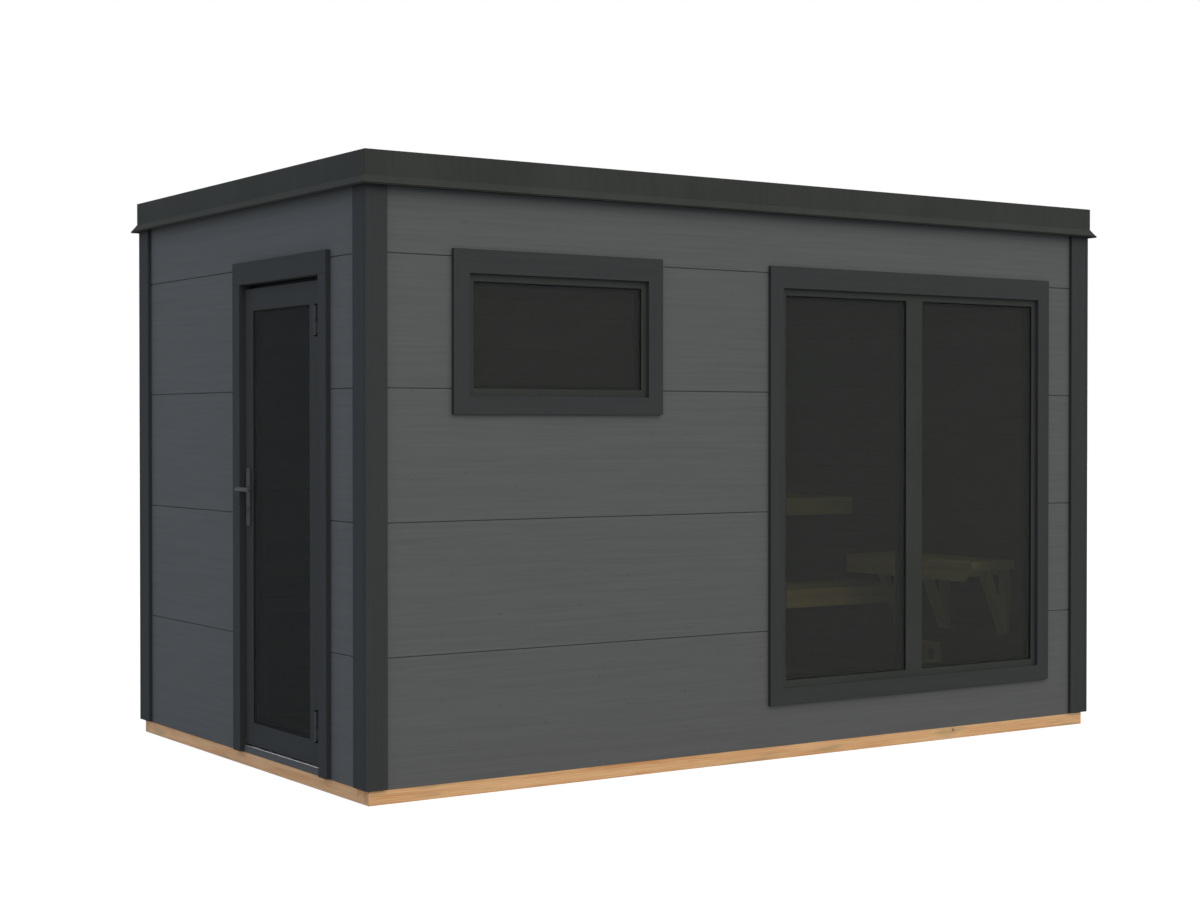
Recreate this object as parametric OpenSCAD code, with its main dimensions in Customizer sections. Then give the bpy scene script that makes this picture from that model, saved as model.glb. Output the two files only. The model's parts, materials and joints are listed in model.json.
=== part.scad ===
// Garden sauna house: a timber cabin on bearers with a flat roof, a glazed door
// in one end wall and two windows in the long front wall.
// The origin is on the underside of the base, in the middle of the plan.
// The front faces -Y and the door wall faces -X. All sizes are in millimetres.

/* [House] */
// Length over the corner boards
house_l = 4000; // [3600:10:5200]
// Width over the corner boards
house_w = 2375; // [2130:5:3200]
// Height from the ground to the top of the roof edge
house_h = 2550; // [2480:5:2800]

/* [Base and floor] */
// Height of the bearers and joists
bearer_h = 57.5; // [45:0.5:70]
// Width of a bearer
bearer_w = 95; // [85:1:140]
// Distance of the bearers behind the corner board faces
bearer_set = 20; // [18:1:30]
// Thickness of a floor joist
joist_t = 45; // [30:1:70]
// Number of floor joists, an odd number so that one is in the middle
joist_count = 7; // [3:2:9]
// Thickness of the floor boards
floor_t = 28; // [18:1:32]

/* [Walls] */
// Thickness of the cladding boards
clad_t = 18; // [14:1:24]
// Thickness of the framed wall with its inner lining
core_t = 64; // [55:1:120]
// Width of a corner board
corner_w = 96; // [70:1:140]
// Thickness of a corner board
corner_t = 18; // [14:1:24]
// Height of the corner boards' and door trims' lower ends over the cladding's lower edge
trim_lift = 3.5; // [1:0.5:10]
// Gap between the corner boards and the roof edge
corner_gap = 2; // [1:0.5:10]

/* [Roof] */
// Thickness of the ceiling lining
ceiling_t = 12; // [9:1:20]
// Height of a roof joist
roof_joist_h = 145; // [120:1:180]
// Thickness of a roof joist
roof_joist_t = 45; // [30:1:70]
// Number of roof joists
roof_joist_count = 7; // [4:1:10]
// Thickness of the roof deck
deck_t = 18; // [15:1:25]
// Thickness of the roof covering
cover_t = 6; // [4:1:10]
// Height of the roof edge's lip over the covering
edge_lip = 10; // [5:1:20]
// Distance of the roof edge's face in front of the corner boards
edge_out = 6.5; // [4:0.5:20]
// Height of the roof edge's upright face
edge_face_h = 101; // [80:1:120]
// How far the drip kick reaches out from the face
kick_out = 23; // [12:1:40]
// How far the drip kick drops
kick_drop = 34; // [20:1:45]
// Thickness of the drip kick
kick_t = 5; // [3:0.5:8]

/* [Trims] */
// Width of an upright trim board
trim_w = 73; // [55:1:90]
// Height of a head trim board
trim_head_h = 96; // [70:1:110]
// Height of a window's lower trim board
trim_foot_h = 72; // [50:1:90]
// Thickness of the window trims
trim_t = 18; // [14:1:24]
// Thickness of the door trims
door_trim_t = 22; // [18:1:26]
// Height of the head trims' lower edge over the ground
trim_head_z = 2090; // [2060:1:2130]

/* [Window frames] */
// Width of the frame that shows beside a pane
frame_side = 28.5; // [20:0.5:40]
// Height of the frame that shows under and over a pane
frame_level = 31.5; // [22:0.5:42]
// How far a frame runs behind its trims
frame_cover = 10; // [5:1:20]
// Depth of a frame
frame_d = 60; // [50:1:70]
// Distance of a pane behind the frame's face
pane_set = 7; // [5:1:18]
// Thickness of a window pane
pane_t = 24; // [16:1:28]
// How far a pane runs into its frame
pane_grip = 10; // [6:1:14]
// Running room round a pane in its groove
pane_gap = 2; // [1:0.5:4]

/* [Small window] */
// Distance of its middle from the door wall's outer face
small_x = 902.25; // [850:1:1000]
// Width between its trims
small_w = 874.5; // [600:1:900]
// Height of its lower trim's upper edge over the ground
small_foot_z = 1599; // [1200:1:1700]

/* [Large window] */
// Distance of its middle from the right end wall's outer face
large_end = 1138; // [1080:1:1200]
// Width between its trims
large_w = 1584; // [1200:1:1600]
// Height of its lower trim's upper edge over the ground
large_foot_z = 314; // [280:1:700]
// Width of its mullion
mullion_w = 102; // [60:1:120]

/* [Doorway] */
// Distance of its middle from the front's outer face
door_y = 799.5; // [760:1:1100]
// Width between its trims
door_w = 771; // [740:1:900]
// Thickness of the jambs where the trims hide them
jamb_t = 24; // [18:1:30]
// Width of the hinge jamb that shows beside the leaf
jamb_show = 39.5; // [34:0.5:50]
// How far the stops stand out from jambs and head
stop_w = 14; // [10:1:20]
// Distance of the stops behind the leaf
stop_gap = 8; // [6:1:12]
// How far the head stop hangs behind the leaf's upper edge
stop_lap = 8; // [4:1:12]
// Height of the sill's upper face over the floor
sill_rise = 4; // [2:0.5:6]
// Thickness of the threshold strip
threshold_t = 2; // [1.5:0.5:4]
// How far the threshold strip stands out from the sill
threshold_nose = 4; // [2:0.5:6]

/* [Door leaf] */
// Distance of the leaf's outer face behind the corner board faces
leaf_set = 22; // [20:0.5:26]
// Thickness of the leaf
leaf_t = 42; // [38:1:46]
// Gap between the leaf and the hinge jamb
leaf_gap_hinge = 6; // [5:0.5:8]
// Gap between the leaf and the latch jamb
leaf_gap_latch = 7; // [7:0.5:12]
// Gap between the leaf and the head trim
leaf_gap_top = 19; // [10:0.5:25]
// Gap between the leaf and the threshold
leaf_gap_foot = 5.5; // [5:0.5:10]
// Width of a stile
stile_w = 82; // [70:1:110]
// Height of the top rail
top_rail_h = 95; // [70:1:130]
// Height of the bottom rail
bottom_rail_h = 98; // [80:1:160]
// Distance of the door's pane behind the leaf's outer face
door_pane_set = 4; // [3:1:18]
// Thickness of the door's pane
door_pane_t = 12; // [6:1:18]

/* [Hinges] */
// Radius of a knuckle
knuckle_r = 7.5; // [6:0.5:9]
// Length of each of a hinge's two knuckles
knuckle_l = 64; // [50:1:80]
// Gap between the two knuckles
knuckle_gap = 1; // [0.5:0.5:2]
// Thickness of the lug that joins a knuckle to leaf or jamb
lug_t = 9; // [6:0.5:12]
// Gap between a knuckle and the leaf's outer face
knuckle_set = 5.5; // [4:0.5:8]
// Radius of the hinge pin
pin_r = 4; // [3:0.5:4.5]
// Radial running room round the pin
pin_room = 0.1; // [0.05:0.01:0.2]
// Room in the bore over the pin's end
pin_end_room = 2; // [1:0.5:4]
// Height of the upper hinge's joint over the leaf's lower edge
upper_hinge_z = 1811; // [1600:1:1850]
// Height of the lower hinge's joint over the leaf's lower edge
lower_hinge_z = 162; // [120:1:300]

/* [Handle] */
// Width of a handle plate
plate_w = 36; // [30:1:44]
// Height of a handle plate
plate_h = 250; // [200:1:280]
// Thickness of a handle plate
plate_t = 8; // [5:1:10]
// Height of the plates' lower ends over the leaf's lower edge
plate_z = 949; // [850:1:1000]
// Distance of the lever's spindle under the plates' upper ends
spindle_drop = 90; // [60:1:120]
// Side of the square spindle
spindle_s = 8; // [6:1:9]
// How far the spindle runs into each neck
spindle_grip = 4; // [3:0.5:8]
// Radius of the lever's neck and grip
lever_r = 9; // [7:0.5:11]
// Length of the lever's grip from the spindle
lever_l = 137; // [110:1:150]
// Distance of the outer grip's middle from the leaf
lever_out = 60; // [50:1:80]
// Distance of the inner grip's middle from the leaf
lever_in = 48; // [40:1:60]
// Radial running room of the spindle and the necks
spindle_room = 1; // [0.5:0.5:2]

/* [Benches] */
// Length of the two back benches
bench_l = 1900; // [1500:10:2400]
// Thickness of a seat
seat_t = 28; // [22:1:36]
// Height of a front board
front_h = 97; // [60:1:110]
// Thickness of a front board
front_t = 28; // [18:1:30]
// Distance of the upper bench's front from the inner face of the back wall
upper_d = 625; // [500:5:700]
// Height of the upper seat over the ground
upper_z = 1084; // [950:1:1200]
// How far the lower bench's front stands before the upper bench's
lower_step = 380; // [300:5:420]
// Height of the lower seat over the ground
lower_z = 619; // [500:1:700]
// Side of a bench post and height of a crossbar
post_s = 45; // [36:1:60]
// Number of crossbar rows along the benches, the last of them on the right wall
crossbar_rows = 3; // [2:1:4]
// Depth of the side bench from the inner face of the right wall
side_d = 370; // [300:5:420]
// Distance of the side bench's end board from the inner face of the front wall
side_y = 296; // [200:1:500]
// Height of the side seat over the ground
side_z = 797; // [750:1:900]
// How far the side front board runs past the end board
side_nose = 70; // [40:1:90]
// Height of the upright part of that board's end
nose_h = 25; // [10:1:50]
// Height of the side bench's end board
end_h = 48; // [36:1:97]

/* [Side bench brackets] */
// Width of a bracket
bracket_w = 60; // [40:1:80]
// Height of a bracket's arm
arm_h = 48; // [36:1:60]
// Thickness of a bracket's wall cleat
cleat_t = 30; // [22:1:40]
// Height of a bracket's wall cleat under the arm
cleat_h = 311; // [250:1:340]
// Thickness of a strut
strut_t = 42; // [30:1:50]
// Distance of the middle bracket from the side bench's end board
bracket_mid = 469; // [300:1:600]

/* [Wall vent] */
// Side of the vent's frame
vent_s = 138; // [100:1:160]
// Side of the vent's hole
vent_hole = 60; // [40:1:80]
// Thickness of the vent's frame
vent_t = 15; // [10:1:20]
// Distance of its middle before the lower bench's front
vent_front = 265; // [150:1:500]
// Height of its middle over the ground
vent_z = 259; // [200:1:330]

/* [Hidden] */

// Colours
CLAD = "#6f7477";
TRIM = "#3b3f41";
EDGE = "#3a3c3a";
FRAME = "#3f423e";
PINE = "#c79d74";
LINING = "#4a3c31";
FLOOR = "#66594b";
BENCH = "#d9b384";
GLASS = "#8fa3ad";
FELT = "#2d2e2f";
STEEL = "#8b8d8e";
ALUMINIUM = "#c6c9cb";
BLACK = "#202122";

// Planes across the walls, from the corner board faces inwards
clad_out = corner_t;
clad_in = clad_out + clad_t;
core_in = clad_in + core_t;

// Heights
clad_z = bearer_h;
floor_top = bearer_h + floor_t;
cover_top = house_h - edge_lip;
deck_top = cover_top - cover_t;
joist_top = deck_top - deck_t;
wall_top = joist_top - roof_joist_h;
edge_foot_z = house_h - edge_face_h;
corner_top = edge_foot_z - kick_t - corner_gap;
trim_foot_z = clad_z + trim_lift;
trim_top = trim_head_z + trim_head_h;

// Window holes through cladding and wall: [left, right, foot, top] of the frame's outside
function window_hole(mid, w, foot) =
    [mid - w / 2 - frame_cover, mid + w / 2 + frame_cover, foot - frame_cover,
        trim_head_z + frame_cover];
large_x = house_l - large_end;
small_hole = window_hole(small_x, small_w, small_foot_z);
large_hole = window_hole(large_x, large_w, large_foot_z);
pane_side = frame_cover + frame_side;
pane_level = frame_cover + frame_level;

// Doorway
door_y0 = door_y - door_w / 2;
door_y1 = door_y + door_w / 2;
hole_y0 = door_y0 - jamb_t;
hole_y1 = door_y1 + jamb_t;
hole_top = trim_head_z + jamb_t;
sill_top = floor_top + sill_rise;
threshold_top = sill_top + threshold_t;
door_trim_x = clad_out - door_trim_t;
leaf_x0 = leaf_set;
leaf_x1 = leaf_set + leaf_t;
stop_x = leaf_x1 + stop_gap;
hinge_jamb_y = door_y0 + jamb_show;
leaf_y0 = hinge_jamb_y + leaf_gap_hinge;
leaf_y1 = door_y1 - leaf_gap_latch;
leaf_z0 = threshold_top + leaf_gap_foot;
leaf_z1 = trim_head_z - leaf_gap_top;
axis_x = leaf_x0 - knuckle_set - knuckle_r;
axis_y = hinge_jamb_y + leaf_gap_hinge / 2;
handle_y = leaf_y1 - stile_w / 2;
plate_z0 = leaf_z0 + plate_z;
lever_z = plate_z0 + plate_h - spindle_drop;

// Benches
inner_x1 = house_l - core_in;
inner_y1 = house_w - core_in;
bench_x0 = inner_x1 - bench_l;
upper_y = inner_y1 - upper_d;
lower_y = upper_y - lower_step;
side_x = inner_x1 - side_d;
side_y0 = core_in + side_y;
arm_z = side_z - seat_t;
row_pitch = (bench_l - post_s) / (crossbar_rows - 1);

module place() translate([-house_l / 2, -house_w / 2, 0]) children();

// A box from its low corner to its high corner
module box(low, high) translate(low) cube(high - low);

// Repeats what follows at n even steps of x from first to last
module steps_x(first, last, n)
    for (i = [0 : n - 1]) translate([first + (last - first) * i / (n - 1), 0, 0]) children();

// ---- base and floor ----

module long_bearers() color(PINE) place()
    for (y = [bearer_set, house_w - bearer_set - bearer_w])
        box([bearer_set, y, 0], [house_l - bearer_set, y + bearer_w, bearer_h]);

module end_bearers() color(PINE) place()
    for (x = [bearer_set, house_l - bearer_set - bearer_w])
        box([x, bearer_set + bearer_w, 0],
            [x + bearer_w, house_w - bearer_set - bearer_w, bearer_h]);

module floor_joists() color(PINE) place() {
    pitch = (house_l - 2 * bearer_set - bearer_w) / (joist_count + 1);
    first = bearer_set + bearer_w / 2 + pitch - joist_t / 2;
    steps_x(first, first + pitch * (joist_count - 1), joist_count)
        box([0, bearer_set + bearer_w, 0], [joist_t, house_w - bearer_set - bearer_w, bearer_h]);
}

module floor() color(FLOOR) place()
    box([core_in, core_in, bearer_h], [house_l - core_in, house_w - core_in, floor_top]);

// ---- walls ----

module hole_through(hole) box([hole[0], -1, hole[2]], [hole[1], core_in + 1, hole[3]]);

module front_wall() color(LINING) place() difference() {
    box([clad_in, clad_in, clad_z], [house_l - clad_in, core_in, wall_top]);
    hole_through(small_hole);
    hole_through(large_hole);
}

module back_wall() color(LINING) place()
    box([clad_in, house_w - core_in, clad_z], [house_l - clad_in, house_w - clad_in, wall_top]);

module right_wall() color(LINING) place()
    box([house_l - core_in, core_in, clad_z], [house_l - clad_in, house_w - core_in, wall_top]);

module door_wall_part(y0, y1, z0) color(LINING) place()
    box([clad_in, y0, z0], [core_in, y1, wall_top]);

module door_wall_front() door_wall_part(core_in, hole_y0, clad_z);
module door_wall_back() door_wall_part(hole_y1, house_w - core_in, clad_z);
module door_wall_over() door_wall_part(hole_y0, hole_y1, hole_top);

// ---- cladding and corner boards ----

module front_cladding() color(CLAD) place() difference() {
    box([clad_out, clad_out, clad_z], [house_l - clad_out, clad_in, joist_top]);
    hole_through(small_hole);
    hole_through(large_hole);
}

module back_cladding() color(CLAD) place()
    box([clad_out, house_w - clad_in, clad_z], [house_l - clad_out, house_w - clad_out, joist_top]);

module right_cladding() color(CLAD) place()
    box([house_l - clad_in, clad_in, clad_z], [house_l - clad_out, house_w - clad_in, joist_top]);

module door_wall_cladding() color(CLAD) place() difference() {
    box([clad_out, clad_in, clad_z], [clad_in, house_w - clad_in, joist_top]);
    box([clad_out - 1, hole_y0, clad_z - 1], [clad_in + 1, hole_y1, hole_top]);
}

// The long walls' boards run to the left-hand corners and stop behind the end
// walls' boards at the right-hand ones
module corner_boards_long() color(TRIM) place()
    for (y = [0, house_w - corner_t], x = [0, house_l - corner_t - corner_w])
        box([x, y, trim_foot_z], [x + corner_w, y + corner_t, corner_top]);

module corner_boards_end() color(TRIM) place()
    for (side = [0, 1]) {
        x = side * (house_l - corner_t);
        gap = side == 0 ? corner_t : 0;
        for (y = [gap, house_w - gap - corner_w])
            box([x, y, trim_foot_z], [x + corner_t, y + corner_w, corner_top]);
    }

// ---- roof ----

module ceiling() color(LINING) place()
    box([core_in, core_in, wall_top - ceiling_t], [house_l - core_in, house_w - core_in, wall_top]);

module roof_joists() color(PINE) place()
    steps_x(clad_in, house_l - clad_in - roof_joist_t, roof_joist_count)
        box([0, clad_in, wall_top], [roof_joist_t, house_w - clad_in, joist_top]);

module roof_slab(z0, z1) place()
    box([clad_out, clad_out, z0], [house_l - clad_out, house_w - clad_out, z1]);

module roof_deck() color(PINE) roof_slab(joist_top, deck_top);
module roof_cover() color(FELT) roof_slab(deck_top, cover_top);

// One side of the roof edge along +X, centred, its face at y = -out, mitred at both ends
module roof_edge_run(length) {
    out = edge_out + kick_out;
    tip_z = edge_foot_z - kick_drop;
    difference() {
        rotate([90, 0, 90]) translate([0, 0, -length / 2 - out]) linear_extrude(length + 2 * out)
            polygon([[clad_out, house_h], [-edge_out, house_h], [-edge_out, edge_foot_z],
                [-out, tip_z], [-out + kick_t / 2, tip_z - kick_t / 3],
                [-edge_out + kick_t / 2, edge_foot_z - kick_t], [clad_out, edge_foot_z - kick_t]]);
        for (s = [0, 1]) mirror([s, 0, 0]) translate([length / 2, 0, edge_foot_z]) rotate(-45)
            translate([-length, 0, -edge_face_h]) cube([2 * length, length, 3 * edge_face_h]);
    }
}

module roof_edge_long() color(EDGE) place()
    for (s = [0, 1]) translate([house_l / 2, s * house_w, 0]) rotate(180 * s)
        roof_edge_run(house_l);

module roof_edge_end() color(EDGE) place()
    for (s = [0, 1]) translate([s * house_l, house_w / 2, 0]) rotate(-90 + 180 * s)
        roof_edge_run(house_w);

// ---- windows ----

module window_trim(mid, w, foot) color(TRIM) place() difference() {
    box([mid - w / 2 - trim_w, clad_out - trim_t, foot - trim_foot_h],
        [mid + w / 2 + trim_w, clad_out, trim_top]);
    box([mid - w / 2, -trim_t, foot], [mid + w / 2, clad_out + 1, trim_head_z]);
}

// Frame with a groove round each pane; lights lists each pane's [left, right]
module window_frame(hole, lights) color(FRAME) place() difference() {
    box([hole[0], clad_out, hole[2]], [hole[1], clad_out + frame_d, hole[3]]);
    for (light = lights) {
        box([light[0], clad_out - 1, hole[2] + pane_level],
            [light[1], clad_out + frame_d + 1, hole[3] - pane_level]);
        box([light[0] - pane_grip, clad_out + pane_set, hole[2] + pane_level - pane_grip],
            [light[1] + pane_grip, clad_out + pane_set + pane_t,
                hole[3] - pane_level + pane_grip]);
    }
}

module window_panes(hole, lights) color(GLASS, 0.35) place() {
    grip = pane_grip - pane_gap;
    for (light = lights)
        box([light[0] - grip, clad_out + pane_set, hole[2] + pane_level - grip],
            [light[1] + grip, clad_out + pane_set + pane_t, hole[3] - pane_level + grip]);
}

small_lights = [[small_hole[0] + pane_side, small_hole[1] - pane_side]];
large_lights = [[large_hole[0] + pane_side, large_x - mullion_w / 2],
    [large_x + mullion_w / 2, large_hole[1] - pane_side]];

module small_window_trim() window_trim(small_x, small_w, small_foot_z);
module small_window_frame() window_frame(small_hole, small_lights);
module small_window_pane() window_panes(small_hole, small_lights);
module large_window_trim() window_trim(large_x, large_w, large_foot_z);
module large_window_frame() window_frame(large_hole, large_lights);
module large_window_panes() window_panes(large_hole, large_lights);

// ---- doorway ----

module door_trim_legs() color(TRIM) place()
    for (y = [door_y0 - trim_w, door_y1])
        box([door_trim_x, y, trim_foot_z], [clad_out, y + trim_w, trim_head_z]);

module door_trim_head() color(TRIM) place()
    box([door_trim_x, door_y0 - trim_w, trim_head_z], [clad_out, door_y1 + trim_w, trim_top]);

module door_jambs() color(TRIM) place() {
    box([clad_out, hole_y0, sill_top], [core_in, door_y0, trim_head_z]);
    box([leaf_x0, door_y0 - 1, threshold_top], [core_in, hinge_jamb_y, trim_head_z]);
    box([stop_x, hinge_jamb_y - 1, threshold_top], [core_in, hinge_jamb_y + stop_w, trim_head_z]);
    box([clad_out, door_y1, sill_top], [core_in, hole_y1, trim_head_z]);
    box([stop_x, door_y1 - stop_w, threshold_top], [core_in, door_y1 + 1, trim_head_z]);
}

module door_frame_head() color(TRIM) place() {
    box([clad_out, hole_y0, trim_head_z], [core_in, hole_y1, hole_top]);
    box([stop_x, hinge_jamb_y + stop_w, leaf_z1 - stop_lap],
        [core_in, door_y1 - stop_w, trim_head_z + 1]);
}

module door_sill() color(CLAD) place()
    box([clad_out, hole_y0, clad_z], [core_in, hole_y1, sill_top]);

module door_threshold() color(ALUMINIUM) place()
    box([clad_out - threshold_nose, door_y0, sill_top], [core_in, door_y1, threshold_top]);

// ---- hinges ----

// Repeats what follows at the joint of each hinge, on the hinge axis
module at_hinges()
    for (z = [upper_hinge_z, lower_hinge_z]) translate([axis_x, axis_y, leaf_z0 + z]) children();

// The fixed halves carry the pins; their lugs sit on the hinge jamb
module hinge_fixed() color(STEEL) place() at_hinges() {
    translate([0, 0, -knuckle_l - knuckle_gap / 2]) cylinder(h = knuckle_l, r = knuckle_r, $fn = 48);
    translate([0, 0, -knuckle_l / 2]) cylinder(h = knuckle_l, r = pin_r, $fn = 48);
    difference() {
        box([-knuckle_r + 1, -leaf_gap_hinge / 2 - lug_t, -knuckle_l * 0.8],
            [leaf_x0 - axis_x, 0, -knuckle_l * 0.2]);
        box([-knuckle_r, -leaf_gap_hinge / 2 - lug_t - 1, -knuckle_l],
            [0, -knuckle_r / 2, 0]);
    }
}

module hinge_moving() color(STEEL) place() at_hinges() difference() {
    union() {
        translate([0, 0, knuckle_gap / 2]) cylinder(h = knuckle_l, r = knuckle_r, $fn = 48);
        box([0, 0, knuckle_l * 0.2], [leaf_x0 - axis_x, leaf_gap_hinge / 2 + lug_t, knuckle_l * 0.8]);
    }
    translate([0, 0, -1])
        cylinder(h = 1 + knuckle_l / 2 + pin_end_room, r = pin_r + pin_room, $fn = 48);
}

// ---- door leaf ----

pane_y0 = leaf_y0 + stile_w;
pane_y1 = leaf_y1 - stile_w;
pane_z0 = leaf_z0 + bottom_rail_h;
pane_z1 = leaf_z1 - top_rail_h;
door_pane_x = leaf_x0 + door_pane_set;

module door_leaf() color(TRIM) place() difference() {
    box([leaf_x0, leaf_y0, leaf_z0], [leaf_x1, leaf_y1, leaf_z1]);
    box([leaf_x0 - 1, pane_y0, pane_z0], [leaf_x1 + 1, pane_y1, pane_z1]);
    box([door_pane_x, pane_y0 - pane_grip, pane_z0 - pane_grip],
        [door_pane_x + door_pane_t, pane_y1 + pane_grip, pane_z1 + pane_grip]);
    translate([leaf_x0 - 1, handle_y, lever_z]) rotate([0, 90, 0])
        cylinder(h = leaf_t + 2, r = lever_r + spindle_room, $fn = 48);
}

module door_pane() color(GLASS, 0.35) place() {
    grip = pane_grip - pane_gap;
    box([door_pane_x, pane_y0 - grip, pane_z0 - grip],
        [door_pane_x + door_pane_t, pane_y1 + grip, pane_z1 + grip]);
}

// ---- handle ----

module handle_plates() color(BLACK) place() difference() {
    for (x = [leaf_x0 - plate_t, leaf_x1])
        box([x, handle_y - plate_w / 2, plate_z0],
            [x + plate_t, handle_y + plate_w / 2, plate_z0 + plate_h]);
    translate([leaf_x0 - plate_t - 1, handle_y, lever_z]) rotate([0, 90, 0])
        cylinder(h = leaf_t + 2 * plate_t + 2, r = lever_r + spindle_room, $fn = 48);
}

// Neck and grip of one lever, its neck along +X from the leaf's middle
module lever(reach) {
    rotate([0, 90, 0]) cylinder(h = reach, r = lever_r, $fn = 48);
    translate([reach, 0, 0]) {
        sphere(r = lever_r, $fn = 48);
        rotate([90, 0, 0]) cylinder(h = lever_l - lever_r, r = lever_r, $fn = 48);
        translate([0, -lever_l + lever_r, 0]) sphere(r = lever_r, $fn = 48);
    }
}

lever_mid = leaf_x0 + leaf_t / 2;
neck_start = leaf_t / 2 - spindle_grip;

module lever_outer() color(BLACK) place() translate([lever_mid, handle_y, lever_z]) {
    difference() {
        mirror([1, 0, 0]) lever(leaf_t / 2 + lever_out);
        box([-neck_start, -lever_r - 1, -lever_r - 1], [1, lever_r + 1, lever_r + 1]);
    }
    box([-leaf_t / 2 - spindle_grip, -spindle_s / 2, -spindle_s / 2],
        [neck_start, spindle_s / 2, spindle_s / 2]);
}

module lever_inner() color(BLACK) place() translate([lever_mid, handle_y, lever_z])
    difference() {
        lever(leaf_t / 2 + lever_in);
        box([-1, -lever_r - 1, -lever_r - 1], [neck_start, lever_r + 1, lever_r + 1]);
    }

// ---- benches ----

module bench_seats() color(BENCH) place() {
    box([bench_x0, upper_y + front_t, upper_z - seat_t], [inner_x1, inner_y1, upper_z]);
    box([bench_x0, lower_y + front_t, lower_z - seat_t], [inner_x1, upper_y + front_t, lower_z]);
    box([side_x + front_t, side_y0 + front_t, arm_z], [inner_x1, lower_y, side_z]);
}

module bench_fronts() color(BENCH) place() {
    for (bench = [[upper_y, upper_z], [lower_y, lower_z]])
        box([bench_x0, bench[0], bench[1] - front_h], [inner_x1, bench[0] + front_t, bench[1]]);
    box([side_x + front_t - 1, side_y0, side_z - end_h], [inner_x1, side_y0 + front_t, side_z]);
    translate([side_x, 0, side_z]) rotate([90, 0, 90]) linear_extrude(front_t)
        polygon([[side_y0 - side_nose, 0], [side_y0 - side_nose, -nose_h],
            [side_y0, -front_h], [lower_y, -front_h], [lower_y, 0]]);
}

// Repeats what follows at the rows of crossbars that stand on posts
module at_posts()
    for (row = [0 : crossbar_rows - 2]) translate([bench_x0 + row_pitch * row, 0, 0]) children();

module bench_posts() color(BENCH) place() at_posts() {
    box([0, lower_y + front_t, floor_top], [post_s, lower_y + front_t + post_s, lower_z - seat_t]);
    for (y = [upper_y + front_t, inner_y1 - post_s])
        box([0, y, floor_top], [post_s, y + post_s, upper_z - seat_t]);
}

// The crossbars of one row; room is what posts take up at their ends
module crossbar_row(room) {
    box([0, lower_y + front_t + room, lower_z - seat_t - post_s],
        [post_s, upper_y + front_t, lower_z - seat_t]);
    box([0, upper_y + front_t + room, upper_z - seat_t - post_s],
        [post_s, inner_y1 - room, upper_z - seat_t]);
}

module bench_crossbars() color(BENCH) place() {
    at_posts() crossbar_row(post_s);
    translate([inner_x1 - post_s, 0, 0]) crossbar_row(0);
}

// Wall cleat, arm and slanted strut of one bracket, from y = 0 to its width
module bracket() {
    reach = side_d - front_t;
    box([-cleat_t, 0, -arm_h - cleat_h], [0, bracket_w, -arm_h]);
    box([-reach, 0, -arm_h], [0, bracket_w, 0]);
    translate([0, bracket_w, 0]) rotate([90, 0, 0]) linear_extrude(bracket_w)
        polygon([[-cleat_t, -arm_h - cleat_h], [-cleat_t, -arm_h - cleat_h + strut_t * 1.4],
            [-reach * 0.5 + strut_t, -arm_h], [-reach * 0.5, -arm_h]]);
}

module side_bench_brackets() color(BENCH) place()
    for (y = [side_y0 + front_t, side_y0 + bracket_mid, lower_y - bracket_w])
        translate([inner_x1, y, arm_z]) bracket();

module wall_vent() color(BENCH) place() translate([inner_x1, lower_y - vent_front, vent_z])
    difference() {
        box([-vent_t, -vent_s / 2, -vent_s / 2], [0, vent_s / 2, vent_s / 2]);
        box([-vent_t - 1, -vent_hole / 2, -vent_hole / 2], [1, vent_hole / 2, vent_hole / 2]);
    }

long_bearers();
end_bearers();
floor_joists();
floor();
front_wall();
back_wall();
right_wall();
door_wall_front();
door_wall_back();
door_wall_over();
front_cladding();
back_cladding();
right_cladding();
door_wall_cladding();
corner_boards_long();
corner_boards_end();
ceiling();
roof_joists();
roof_deck();
roof_cover();
roof_edge_long();
roof_edge_end();
small_window_trim();
small_window_frame();
small_window_pane();
large_window_trim();
large_window_frame();
large_window_panes();
door_trim_legs();
door_trim_head();
door_jambs();
door_frame_head();
door_sill();
door_threshold();
hinge_fixed();
door_leaf();
door_pane();
hinge_moving();
handle_plates();
lever_outer();
lever_inner();
bench_seats();
bench_fronts();
bench_posts();
bench_crossbars();
side_bench_brackets();
wall_vent();
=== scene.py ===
import json
import math
import random

import bmesh
import bpy
from mathutils import Matrix, Vector


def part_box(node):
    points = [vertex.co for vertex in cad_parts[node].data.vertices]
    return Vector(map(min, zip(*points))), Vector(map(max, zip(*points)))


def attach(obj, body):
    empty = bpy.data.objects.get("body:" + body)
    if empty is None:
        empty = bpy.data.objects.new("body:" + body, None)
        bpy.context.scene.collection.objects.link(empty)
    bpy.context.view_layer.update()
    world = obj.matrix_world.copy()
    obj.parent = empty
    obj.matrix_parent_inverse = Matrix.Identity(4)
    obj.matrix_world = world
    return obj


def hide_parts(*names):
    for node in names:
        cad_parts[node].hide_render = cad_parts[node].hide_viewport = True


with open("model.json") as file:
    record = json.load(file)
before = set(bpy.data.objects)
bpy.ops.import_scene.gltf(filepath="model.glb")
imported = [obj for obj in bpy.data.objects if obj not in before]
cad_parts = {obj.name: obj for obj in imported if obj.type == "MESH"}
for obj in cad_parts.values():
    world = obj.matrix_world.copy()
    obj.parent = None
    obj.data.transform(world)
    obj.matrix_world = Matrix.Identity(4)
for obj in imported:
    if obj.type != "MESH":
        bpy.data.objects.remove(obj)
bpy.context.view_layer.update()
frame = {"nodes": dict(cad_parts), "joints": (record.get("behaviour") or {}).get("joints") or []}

joints = {joint["name"]: joint for joint in frame["joints"]}
hinge_line = joints["door_swing"]["pos_m"]
spindle = joints["handle_turn"]["pos_m"]

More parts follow.
